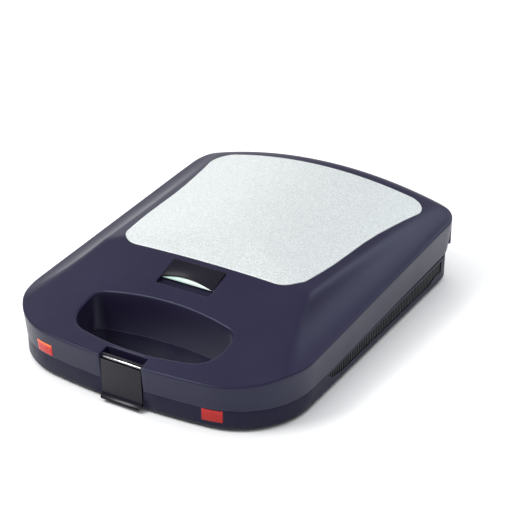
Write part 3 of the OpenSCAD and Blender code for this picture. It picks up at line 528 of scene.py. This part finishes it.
class Wire:
    """Adds nodes to one tree and joins them by name."""

    def __init__(self, tree):
        self.tree = tree
        self.add = tree.nodes.new

    def node(self, kind, **settings):
        made = self.add(kind)
        for key, value in settings.items():
            setattr(made, key, value)
        return made

    def join(self, source, target):
        self.tree.links.new(source, target)

    def feed(self, socket, value):
        if isinstance(value, bpy.types.NodeSocket):
            self.join(value, socket)
        else:
            socket.default_value = value

    def math(self, operation, a, b=0.0, clamp=False):
        made = self.node("ShaderNodeMath", operation=operation, use_clamp=clamp)
        self.feed(made.inputs[0], a)
        self.feed(made.inputs[1], b)
        return made.outputs[0]

    def spread(self, value, low, high, to_low=0.0, to_high=1.0):
        made = self.node("ShaderNodeMapRange", clamp=True)
        for socket, v in zip(made.inputs, (value, low, high, to_low, to_high)):
            self.feed(socket, v)
        return made.outputs[0]

    def noise(self, place, scale, detail=3.0, roughness=0.5):
        made = self.node("ShaderNodeTexNoise")
        self.join(place, made.inputs["Vector"])
        self.feed(made.inputs["Scale"], scale)
        made.inputs["Detail"].default_value = detail
        made.inputs["Roughness"].default_value = roughness
        return made.outputs["Fac"]

    def place(self, scale=(1, 1, 1), turn=(0, 0, 0)):
        coords = self.node("ShaderNodeTexCoord")
        mapping = self.node("ShaderNodeMapping")
        mapping.inputs["Scale"].default_value = scale
        mapping.inputs["Rotation"].default_value = turn
        self.join(coords.outputs["Object"], mapping.inputs["Vector"])
        return mapping.outputs["Vector"]

    def blend(self, share, a, b):
        made = self.node("ShaderNodeMix", data_type="RGBA")
        self.feed(made.inputs[0], share)
        self.feed(made.inputs[6], a)
        self.feed(made.inputs[7], b)
        return made.outputs[2]


def ends(group):
    return group.nodes.new("NodeGroupInput"), group.nodes.new("NodeGroupOutput")


grain_group, w = new_group(
    "moulding_grain",
    [("Grain Size", 0.0006), ("Depth", 1.0), ("Roughness", 0.4), ("Spread", 0.08)],
    ["Roughness", "Height", "Cloud"],
)
given, result = ends(grain_group)
place = w.place()
per_metre = w.math("DIVIDE", 1.0, given.outputs["Grain Size"])
fine = w.noise(place, per_metre, 2.0, 0.6)
pits = w.node("ShaderNodeTexVoronoi", feature="SMOOTH_F1")
w.join(place, pits.inputs["Vector"])
w.join(per_metre, pits.inputs["Scale"])
pitted = w.math("MULTIPLY", pits.outputs["Distance"], 0.5)
height = w.math("ADD", w.math("MULTIPLY", fine, 0.6), pitted)
w.join(w.math("MULTIPLY", height, given.outputs["Depth"]), result.inputs["Height"])
cloud = w.noise(place, 9.0, 4.0, 0.55)
w.join(w.spread(cloud, 0.3, 0.7), result.inputs["Cloud"])
flow = w.math("SUBTRACT", w.noise(place, 28.0, 5.0, 0.6), 0.5)
speckle = w.math("MULTIPLY", w.math("SUBTRACT", fine, 0.5), 0.12)
rough = w.math("ADD", w.math("MULTIPLY", flow, given.outputs["Spread"]), speckle)
w.join(w.math("ADD", rough, given.outputs["Roughness"]), result.inputs["Roughness"])

# Mask of the edges: materials make them paler with it, partly for rubbing and partly as painted
# highlight.
edge_group, w = new_group("edge_wear_and_highlight", [("Radius", 0.0008), ("Amount", 1.0)], ["Mask"])
given, result = ends(edge_group)
softened = w.node("ShaderNodeBevel", samples=4)
w.join(given.outputs["Radius"], softened.inputs["Radius"])
facing = w.node("ShaderNodeNewGeometry")
product = w.node("ShaderNodeVectorMath", operation="DOT_PRODUCT")
w.join(softened.outputs["Normal"], product.inputs[0])
w.join(facing.outputs["Normal"], product.inputs[1])
edge = w.spread(w.math("SUBTRACT", 1.0, product.outputs["Value"]), 0.01, 0.16)
patchy = w.spread(w.noise(w.place(), 70.0, 4.0, 0.65), 0.3, 0.65, 0.35, 1.0)
edge = w.math("MULTIPLY", edge, patchy)
w.join(w.math("MULTIPLY", edge, given.outputs["Amount"]), result.inputs["Mask"])

dust_group, w = new_group("settled_dust", [("Amount", 0.1), ("Speck Size", 0.0012)], ["Mask"])
given, result = ends(dust_group)
coords = w.node("ShaderNodeTexCoord")
upward = w.node("ShaderNodeSeparateXYZ")
w.join(coords.outputs["Normal"], upward.inputs[0])
up = w.spread(upward.outputs["Z"], 0.2, 0.95)
film = w.spread(w.noise(w.place(), 22.0, 6.0, 0.65), 0.42, 0.75)
specks = w.node("ShaderNodeTexVoronoi", feature="F1")
w.join(w.place(), specks.inputs["Vector"])
w.join(w.math("DIVIDE", 0.4, given.outputs["Speck Size"]), specks.inputs["Scale"])
spot = w.spread(specks.outputs["Distance"], 0.05, 0.16, 1.0, 0.0)
chosen = w.math("GREATER_THAN", w.noise(w.place(), 160.0, 0.0), 0.6)
layer = w.math("ADD", film, w.math("MULTIPLY", w.math("MULTIPLY", spot, chosen), 2.0))
settled = w.math("MULTIPLY", w.math("MULTIPLY", layer, up), given.outputs["Amount"], clamp=True)
w.join(settled, result.inputs["Mask"])


class Finish(Wire):
    """One material with its Principled shader, and the shared groups placed in it."""

    def __init__(self, name, colour, metallic=0.0, **sockets):
        self.material = bpy.data.materials.new(name)
        self.material.use_nodes = True
        self.material.diffuse_color = (*colour, 1.0)
        super().__init__(self.material.node_tree)
        self.shader = self.tree.nodes["Principled BSDF"]
        self.shader.inputs["Base Color"].default_value = (*colour, 1.0)
        self.shader.inputs["Metallic"].default_value = metallic
        for key, value in sockets.items():
            self.shader.inputs[key.replace("_", " ")].default_value = value

    def group(self, tree, **values):
        made = self.node("ShaderNodeGroup", node_tree=tree)
        for key, value in values.items():
            made.inputs[key.replace("_", " ")].default_value = value
        return made.outputs

    def bump(self, height, strength, distance):
        made = self.node("ShaderNodeBump")
        made.inputs["Strength"].default_value = strength
        made.inputs["Distance"].default_value = distance
        self.join(height, made.inputs["Height"])
        self.join(made.outputs["Normal"], self.shader.inputs["Normal"])

    def colour(self, value):
        self.join(value, self.shader.inputs["Base Color"])

    def roughness(self, value):
        self.join(value, self.shader.inputs["Roughness"])


def rgba(r, g, b):
    return (r, g, b, 1.0)


def moulding(
    name, colour, edge_wear_highlight_colour, dusty, rough,
    grain=0.0006, depth=0.25, dust=0.02, edge_wear_highlight_amount=0.5, edge=0.0008, gloss=0.34,
):
    """Satin moulding: tinted through, a shade paler at the edges from rubbing and as painted
    highlight, with a breath of dust.
    """
    cool = (0.72, 0.82, 1.0, 1.0)
    f = Finish(name, colour, IOR=1.5, Specular_IOR_Level=gloss, Specular_Tint=cool)
    g = f.group(grain_group, Grain_Size=grain, Roughness=rough, Spread=0.1)
    wear_and_highlight = f.group(edge_group, Radius=edge, Amount=edge_wear_highlight_amount)["Mask"]
    settled = f.group(dust_group, Amount=dust)["Mask"]
    deep = tuple(0.86 * c for c in colour)
    pale = tuple(1.12 * c for c in colour)
    body = f.blend(g["Cloud"], rgba(*deep), rgba(*pale))
    body = f.blend(wear_and_highlight, body, rgba(*edge_wear_highlight_colour))
    f.colour(f.blend(settled, body, rgba(*dusty)))
    shine = f.math("SUBTRACT", g["Roughness"], f.math("MULTIPLY", wear_and_highlight, 0.12))
    f.roughness(f.math("ADD", shine, f.math("MULTIPLY", settled, 0.35), clamp=True))
    f.bump(g["Height"], depth, 0.00006)
    return f.material


# On the lid the pale edge tint is partly painted highlight along the rims and recess edges, partly
# rubbing.
navy = moulding(
    "navy_moulding", (0.0150, 0.0120, 0.0330), (0.13, 0.13, 0.17), (0.14, 0.14, 0.15), 0.36,
    edge_wear_highlight_amount=0.9, edge=0.0007,
)
lid_piece.data.materials.append(navy)


# A thin pressed sheet of silver metal, let into the top of the lid. It follows the crown,
# has a fine sparkling grain all over and a small turned edge, and is glued in from above. Its
# bright rim is painted highlight, with a little rubbing, blended in by the edge mask.
sparkle_group, w = new_group(
    "sparkling_grain", [("Cell Size", 0.0005)], ["Tone", "Height", "Sheen"]
)
given, result = ends(sparkle_group)
place = w.place()
cells = w.node("ShaderNodeTexVoronoi", feature="F1")
w.join(place, cells.inputs["Vector"])
w.join(w.math("DIVIDE", 1.0, given.outputs["Cell Size"]), cells.inputs["Scale"])
shade = w.node("ShaderNodeSeparateColor")
w.join(cells.outputs["Color"], shade.inputs[0])
w.join(shade.outputs[0], result.inputs["Tone"])
crumb = w.noise(place, w.math("DIVIDE", 0.8, given.outputs["Cell Size"]), 3.0, 0.7)
w.join(w.math("ADD", crumb, w.math("MULTIPLY", shade.outputs[1], 0.8)), result.inputs["Height"])
w.join(w.noise(place, 14.0, 3.0, 0.5), result.inputs["Sheen"])

panel = Shell()
sheet_gap, sheet_proud, sheet_t, sheet_round = 0.12, 0.3, 1.3, 0.55
plate_p, plate_d = mirrored_loop(*panel_half(-sheet_gap, 3.0))


def sheet_top(x, y):
    return lid_height(x, y) + sheet_proud


def sheet_under(x, y):
    return sheet_top(x, y) - sheet_t


plate_ring = plate_p - plate_d * 1.1
floor_under(panel, plate_ring, sheet_top, 3.0)
ring_ids = panel.add(np.column_stack([plate_ring, sheet_top(*plate_ring.T)]))
wall = straight_down(plate_p)
under = sheet_under(*plate_p.T)
rim(panel, ring_ids, plate_p, -plate_d, sheet_top, wall, sheet_round, under, 1, False)
floor_under(panel, plate_p, sheet_under, 6.0)
panel_piece = panel.build("silver_panel")
only(panel_piece)
bpy.ops.object.shade_smooth_by_angle(angle=math.radians(50))
f = Finish("silver_sheet", (0.80, 0.83, 0.82), metallic=0.5)
g = f.group(sparkle_group, Cell_Size=0.00055)
# Painted highlight along the rim: the edge mask turns the edge near white, besides a little
# rubbing.
wear_and_highlight = f.group(edge_group, Radius=0.0006, Amount=0.8)["Mask"]
tone = f.blend(g["Tone"], rgba(0.56, 0.595, 0.59), rgba(0.86, 0.89, 0.88))
f.colour(f.blend(wear_and_highlight, tone, rgba(0.95, 0.96, 0.96)))
rough = f.spread(g["Tone"], 0.0, 1.0, 0.38, 0.54)
rough = f.math("ADD", rough, f.math("MULTIPLY", f.math("SUBTRACT", g["Sheen"], 0.5), 0.12))
f.roughness(f.math("SUBTRACT", rough, f.math("MULTIPLY", wear_and_highlight, 0.15)))
f.bump(g["Height"], 0.35, 0.00012)
panel_piece.data.materials.append(f.material)
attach(panel_piece, "lid")
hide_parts("top_panel")


# A glossy black clip that hangs from a steel pin in the notch of the front rim. It is one
# moulding: a rolled head round the pin, a flat face and a lip that flares out for the thumb.
clip_w, clip_t, clip_front, clip_low, head_y, head_z = 39.0, 1.8, 1.4, 3.3, 4.8, 39.0
# Levels of the face: height, push to the rear, and how far each side draws in.
levels = [
    (30.0, 0.15, 0), (21.0, 0.5, 0), (14.0, 0.7, 0), (11.0, 0.62, 0),
    (9.2, 0.4, 0), (7.8, -0.05, 0), (6.6, -0.75, 0), (5.6, -1.6, 0),
    (4.7, -2.6, 0.25), (4.0, -3.4, 0.7), (clip_low, -3.75, 1.6),
]


def edge_bevel(piece, width):
    m = piece.modifiers.new("edges", "BEVEL")
    m.width, m.segments, m.limit_method, m.angle_limit = width / 1000, 3, "ANGLE", math.radians(40)
    m.use_clamp_overlap = True


bpy.ops.object.select_all(action="DESELECT")
clip_y, clip_z = clip_front + clip_t / 2 - mid_y, (clip_low + head_z) / 2
bpy.ops.mesh.primitive_cube_add(size=1, location=(0, clip_y / 1000, clip_z / 1000))
clip = bpy.context.object
clip.name = clip.data.name = "latch_moulding"
clip.scale = (clip_w / 1000, clip_t / 1000, (head_z - clip_low) / 1000)
bpy.ops.object.transform_apply(location=True, rotation=True, scale=True)
bpy.ops.object.mode_set(mode="EDIT")
for z, _, _ in levels[:-1]:
    bpy.ops.mesh.select_all(action="SELECT")
    bpy.ops.mesh.bisect(plane_co=(0, 0, z / 1000), plane_no=(0, 0, 1))
work = bmesh.from_edit_mesh(clip.data)
for part in (*work.faces, *work.edges, *work.verts):
    part.select = False
for v in work.verts:
    v.select = v.co.z * 1000 > head_z - 0.01
    for z, push, tuck in levels:
        if abs(v.co.z * 1000 - z) < 0.02:
            v.co.y += push / 1000
            v.co.x -= math.copysign(tuck / 1000, v.co.x)
work.select_flush_mode()
bmesh.update_edit_mesh(clip.data)
# The head is the upper edge of the face, rolled up and over round the pin.
pin_at = (0, (head_y - mid_y) / 1000, head_z / 1000)
bpy.ops.mesh.spin(steps=20, angle=math.radians(-292), center=pin_at, axis=(1, 0, 0))
bpy.ops.mesh.select_all(action="SELECT")
bpy.ops.mesh.normals_make_consistent(inside=False)
bpy.ops.object.mode_set(mode="OBJECT")
edge_bevel(clip, 0.35)
apply_all(clip)
bpy.ops.object.shade_smooth_by_angle(angle=math.radians(45))

f = Finish(
    "glossy_black", (0.008, 0.0065, 0.012),
    IOR=1.5, Specular_IOR_Level=0.22, Coat_Weight=0.06, Coat_Roughness=0.06,
)
g = f.group(grain_group, Grain_Size=0.0009, Roughness=0.2, Spread=0.12)
wear_and_highlight = f.group(edge_group, Radius=0.0007, Amount=0.5)["Mask"]
settled = f.group(dust_group, Amount=0.015)["Mask"]
body = f.blend(g["Cloud"], rgba(0.0065, 0.005, 0.010), rgba(0.010, 0.008, 0.0145))
body = f.blend(wear_and_highlight, body, rgba(0.03, 0.028, 0.036))
f.colour(f.blend(settled, body, rgba(0.14, 0.14, 0.15)))
f.roughness(f.math("ADD", g["Roughness"], f.math("MULTIPLY", settled, 0.4), clamp=True))
f.bump(g["Height"], 0.08, 0.00004)
gloss_black = f.material
clip.data.materials.append(gloss_black)
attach(clip, "latch")
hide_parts("latch_clip")

# The window behind the handle: a glossy black hood, flush with the lid at its rear edge and
# arched at the front, over a crescent of pale translucent moulding that its lamp lights.
hood_half, hood_y0, hood_y1, hood_t, arch = 25.9, 98.6, 118.7, 1.1, 4.6
hood_lift, crescent_inset, crescent_t = 0.1, 0.5, 1.2


def hood_rise(x):
    """Height of the arch over the hood's straight chord."""
    share = np.clip(np.abs(np.asarray(x, float)) / (hood_half - 1.2), 0, 1)
    return arch * (1 - share**2)


bpy.ops.object.select_all(action="DESELECT")
bpy.ops.mesh.primitive_grid_add(x_subdivisions=36, y_subdivisions=10, size=1)
hood = bpy.context.object
hood.name = hood.data.name = "indicator_hood_moulding"
for v in hood.data.vertices:
    x = v.co.x * 2 * hood_half
    share = 0.5 - v.co.y
    y = hood_y1 - share * (hood_y1 - hood_y0)
    rise = float(hood_rise(x)) * share**1.5
    v.co = (x / 1000, (y - mid_y) / 1000, (slope_z(y) + hood_lift + rise) / 1000)
bpy.ops.object.mode_set(mode="EDIT")
bpy.ops.mesh.select_all(action="SELECT")
bpy.ops.mesh.extrude_region_move(TRANSFORM_OT_translate={"value": (0, 0, -hood_t / 1000)})
bpy.ops.mesh.select_all(action="SELECT")
bpy.ops.mesh.normals_make_consistent(inside=False)
bpy.ops.object.mode_set(mode="OBJECT")
edge_bevel(hood, 0.4)
apply_all(hood)
bpy.ops.object.shade_smooth_by_angle(angle=math.radians(40))
hood.data.materials.append(gloss_black)
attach(hood, "lid")
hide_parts("indicator_hood")

bpy.ops.object.select_all(action="DESELECT")
bpy.ops.mesh.primitive_grid_add(x_subdivisions=36, y_subdivisions=6, size=1)
crescent = bpy.context.object
crescent.name = crescent.data.name = "indicator_crescent"
low_z = slope_z(hood_y0) - 1.3
for v in crescent.data.vertices:
    x = v.co.x * 2 * (hood_half - crescent_inset)
    share = v.co.y + 0.5
    top = float(hood_rise(x)) + slope_z(hood_y0) - 1.15
    z = low_z + (top - low_z) * share
    bulge = 0.9 * math.sin(math.pi * min(1.0, share * 1.05)) * max(0.0, top - low_z) / arch
    v.co = (x / 1000, (hood_y0 + 0.9 - bulge - mid_y) / 1000, z / 1000)
bpy.ops.object.mode_set(mode="EDIT")
bpy.ops.mesh.select_all(action="SELECT")
bpy.ops.mesh.extrude_region_move(TRANSFORM_OT_translate={"value": (0, crescent_t / 1000, 0)})
bpy.ops.mesh.select_all(action="SELECT")
bpy.ops.mesh.remove_doubles(threshold=0.00002)
bpy.ops.mesh.normals_make_consistent(inside=False)
bpy.ops.object.mode_set(mode="OBJECT")
bpy.ops.object.shade_smooth_by_angle(angle=math.radians(40))
f = Finish(
    "pale_window", (0.72, 0.84, 0.76),
    IOR=1.49, Emission_Strength=0.5, Coat_Weight=0.4, Coat_Roughness=0.05,
)
g = f.group(grain_group, Grain_Size=0.0012, Roughness=0.22, Spread=0.1)
across = f.node("ShaderNodeSeparateXYZ")
f.join(f.place(), across.inputs[0])
reach = f.spread(across.outputs["X"], -0.026, 0.026)
tone = f.blend(reach, rgba(0.42, 0.66, 0.55), rgba(0.86, 0.95, 0.90))
milk = f.blend(f.math("MULTIPLY", g["Cloud"], 0.2), tone, rgba(0.95, 1.0, 0.96))
f.colour(milk)
f.join(milk, f.shader.inputs["Emission Color"])
f.roughness(g["Roughness"])
f.bump(g["Height"], 0.06, 0.00005)
crescent.data.materials.append(f.material)
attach(crescent, "lid")
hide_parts("indicator_lens")


# The base is the lower moulding of the same navy plastic, with a skirt that draws in at the
# foot. Its solid is carried over, with its edges broken as a mould leaves them.


def break_edges(node, width, segments=2):
    """Gives a carried-over solid the small radii of a real moulding or pressing."""
    angle, flat = 32, 1.2
    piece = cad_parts[node]
    m = piece.modifiers.new("close", "WELD")
    m.merge_threshold = 0.000004
    m = piece.modifiers.new("plain_faces", "DECIMATE")
    m.decimate_type, m.angle_limit = "DISSOLVE", math.radians(flat)
    m = piece.modifiers.new("edges", "BEVEL")
    m.width, m.segments = width / 1000, segments
    m.limit_method, m.angle_limit = "ANGLE", math.radians(angle)
    m.harden_normals = True
    m.use_clamp_overlap = True
    return piece


def cover(node, material):
    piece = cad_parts[node]
    piece.data.materials.clear()
    piece.data.materials.append(material)


# On the base too the pale edge tint is partly painted highlight along its rims, partly rubbing.
base_navy = moulding(
    "navy_base_moulding", (0.0130, 0.0110, 0.0285), (0.11, 0.11, 0.15), (0.14, 0.14, 0.15), 0.42,
    edge_wear_highlight_amount=0.8, edge=0.0006, gloss=0.16,
)
cover("base_housing", base_navy)
break_edges("base_housing", 0.45)

# The base's floor with its air slots, and the lid's frame round its plate with the tongues
# of the hinge. Both are black heat-resistant mouldings, screwed on from the inside.
liner = moulding(
    "black_liner", (0.010, 0.0095, 0.012), (0.03, 0.03, 0.033), (0.12, 0.12, 0.12), 0.5,
    grain=0.0009, depth=0.4,
)
for node in ("base_bottom", "lid_frame"):
    cover(node, liner)
    break_edges(node, 0.35)

# Black ribbed strips let the heat out along both sides. Each is one moulding, pushed from
# within into a window in the base's wall.
grille_black = moulding(
    "black_vent", (0.006, 0.006, 0.0078), (0.03, 0.03, 0.034), (0.12, 0.12, 0.13), 0.34,
    grain=0.0007,
)
for node in ("side_grille_right", "side_grille_left"):
    cover(node, grille_black)
    break_edges(node, 0.18, 1)

# Two small windows of clear red moulding over neon lamps, snapped into the front corners:
# ready in the lid on the left, and power in the base on the right.
dark_rib, light_rib = rgba(0.30, 0.0030, 0.0024), rgba(0.55, 0.0110, 0.0066)
for light, glow, hot in (
    ("ready", 0.5, rgba(1.0, 0.22, 0.05)),
    ("power", 0.12, rgba(0.40, 0.012, 0.01)),
):
    f = Finish(
        "red_window_" + light, (0.50, 0.012, 0.008),
        IOR=1.49, Specular_IOR_Level=0.3, Emission_Strength=glow,
        Coat_Weight=0.1, Coat_Roughness=0.04,
    )
    g = f.group(grain_group, Grain_Size=0.0010, Roughness=0.16, Spread=0.1)
    lo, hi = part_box(light + "_lens")
    height = f.node("ShaderNodeSeparateXYZ")
    f.join(f.place(), height.inputs[0])
    lift = f.spread(height.outputs["Z"], lo.z + 0.002, hi.z - 0.0005)
    ribs = f.node("ShaderNodeTexWave", wave_type="BANDS", bands_direction="X")
    f.join(f.place(), ribs.inputs["Vector"])
    ribs.inputs["Scale"].default_value = 130.0
    ribs.inputs["Distortion"].default_value = 0.4
    deep = f.blend(f.math("MULTIPLY", ribs.outputs["Fac"], 0.45), dark_rib, light_rib)
    tone = f.blend(f.math("POWER", lift, 5.0), deep, hot)
    f.colour(tone)
    f.join(tone, f.shader.inputs["Emission Color"])
    f.roughness(g["Roughness"])
    f.bump(ribs.outputs["Fac"], 0.25, 0.0002)
    cover(light + "_lens", f.material)
    break_edges(light + "_lens", 0.35)

f = Finish("neon_glass", (0.85, 0.45, 0.30), IOR=1.47, Transmission_Weight=0.8, Roughness=0.05)
f.colour(f.blend(f.noise(f.place(), 300.0), rgba(0.9, 0.5, 0.34), rgba(0.8, 0.36, 0.22)))
for node in ("ready_lamp", "power_lamp"):
    cover(node, f.material)

# Two die-cast aluminium plates under a black non-stick coat, each with four bread pockets.
# The coat has a faint sparkle and is a little thinner and greyer on the high edges.
f = Finish("non_stick_coat", (0.012, 0.012, 0.013), metallic=0.15, IOR=1.45)
g = f.group(grain_group, Grain_Size=0.0011, Roughness=0.34, Spread=0.14)
wear_and_highlight = f.group(edge_group, Radius=0.0012, Amount=0.7)["Mask"]
fleck = f.group(sparkle_group, Cell_Size=0.0007)
bright = f.math("GREATER_THAN", fleck["Tone"], 0.93)
body = f.blend(g["Cloud"], rgba(0.009, 0.009, 0.010), rgba(0.017, 0.0165, 0.0175))
body = f.blend(f.math("MULTIPLY", bright, 0.35), body, rgba(0.16, 0.16, 0.165))
f.colour(f.blend(wear_and_highlight, body, rgba(0.05, 0.049, 0.05)))
f.roughness(g["Roughness"])
f.bump(g["Height"], 0.35, 0.00008)
for node in ("lower_plate", "upper_plate"):
    cover(node, f.material)
    break_edges(node, 0.5)

# Bent steel heating tubes with white ceramic ends, pressed sheet trays that throw the heat
# back, zinc-plated screws and pins, and the ceramic thermostat and terminal block.
brushed_group, w = new_group("drawn_metal", [("Line Size", 0.0004)], ["Tone", "Height", "Stain"])
given, result = ends(brushed_group)
across_lines = w.math("DIVIDE", 1.0, given.outputs["Line Size"])
lines = w.noise(w.place(scale=(0.06, 1.0, 1.0)), across_lines, 3.0, 0.65)
w.join(w.spread(lines, 0.3, 0.7), result.inputs["Tone"])
w.join(lines, result.inputs["Height"])
w.join(w.spread(w.noise(w.place(), 35.0, 5.0, 0.6), 0.4, 0.7), result.inputs["Stain"])


def drawn_metal(name, dark, light, stain, rough, line=0.0004, stained=0.4):
    """Metal with the lines of drawing or rolling, brighter edges and patches of heat stain."""
    f = Finish(name, light, metallic=1.0)
    g = f.group(brushed_group, Line_Size=line)
    wear_and_highlight = f.group(edge_group, Radius=0.0004, Amount=0.6)["Mask"]
    body = f.blend(g["Tone"], rgba(*dark), rgba(*light))
    body = f.blend(f.math("MULTIPLY", g["Stain"], stained), body, rgba(*stain))
    f.colour(f.blend(wear_and_highlight, body, rgba(*(min(1.0, 1.15 * c) for c in light))))
    f.roughness(f.spread(g["Tone"], 0.0, 1.0, rough - 0.07, rough + 0.09))
    f.bump(g["Height"], 0.18, 0.00005)
    return f.material


tube_steel = drawn_metal(
    "heating_tube", (0.10, 0.095, 0.095), (0.24, 0.225, 0.22), (0.20, 0.13, 0.08), 0.42
)
tray_steel = drawn_metal(
    "bright_tray", (0.52, 0.53, 0.54), (0.74, 0.75, 0.76), (0.45, 0.38, 0.28), 0.26,
    line=0.0006, stained=0.35,
)
zinc = drawn_metal(
    "zinc_plate", (0.42, 0.43, 0.45), (0.66, 0.67, 0.69), (0.48, 0.46, 0.38), 0.30,
    line=0.0003, stained=0.3,
)
for node in ("lower_element", "upper_element"):
    cover(node, tube_steel)
for node in ("lower_heat_shield", "upper_heat_shield"):
    cover(node, tray_steel)
    break_edges(node, 0.2)
screws = ("bottom_screws", "lid_screws", "lower_plate_screws", "upper_plate_screws")
for node in (*screws, "hinge_pins", "latch_pin"):
    cover(node, zinc)
    break_edges(node, 0.12)

f = Finish("white_ceramic", (0.72, 0.69, 0.60), IOR=1.55, Coat_Weight=0.5, Coat_Roughness=0.08)
g = f.group(grain_group, Grain_Size=0.0010, Roughness=0.30, Spread=0.15)
speck = f.math("GREATER_THAN", f.noise(f.place(), 900.0, 1.0), 0.72)
body = f.blend(g["Cloud"], rgba(0.66, 0.62, 0.53), rgba(0.78, 0.75, 0.67))
f.colour(f.blend(f.math("MULTIPLY", speck, 0.6), body, rgba(0.34, 0.28, 0.2)))
f.roughness(g["Roughness"])
f.bump(g["Height"], 0.2, 0.00008)
for node in ("element_terminals_lower", "element_terminals_upper", "thermostat", "terminal_block"):
    cover(node, f.material)
    break_edges(node, 0.2)

# Four soft black rubber feet, pushed into the floor from below, and the rubber gland in the
# rear wall that a lead would pass through.
rubber = moulding(
    "black_rubber", (0.008, 0.008, 0.008), (0.022, 0.022, 0.022), (0.10, 0.10, 0.095), 0.72,
    grain=0.0008, depth=0.6, dust=0.15, edge_wear_highlight_amount=0.3,
)
for node in ("rubber_feet", "cord_gland"):
    cover(node, rubber)
    break_edges(node, 0.35)
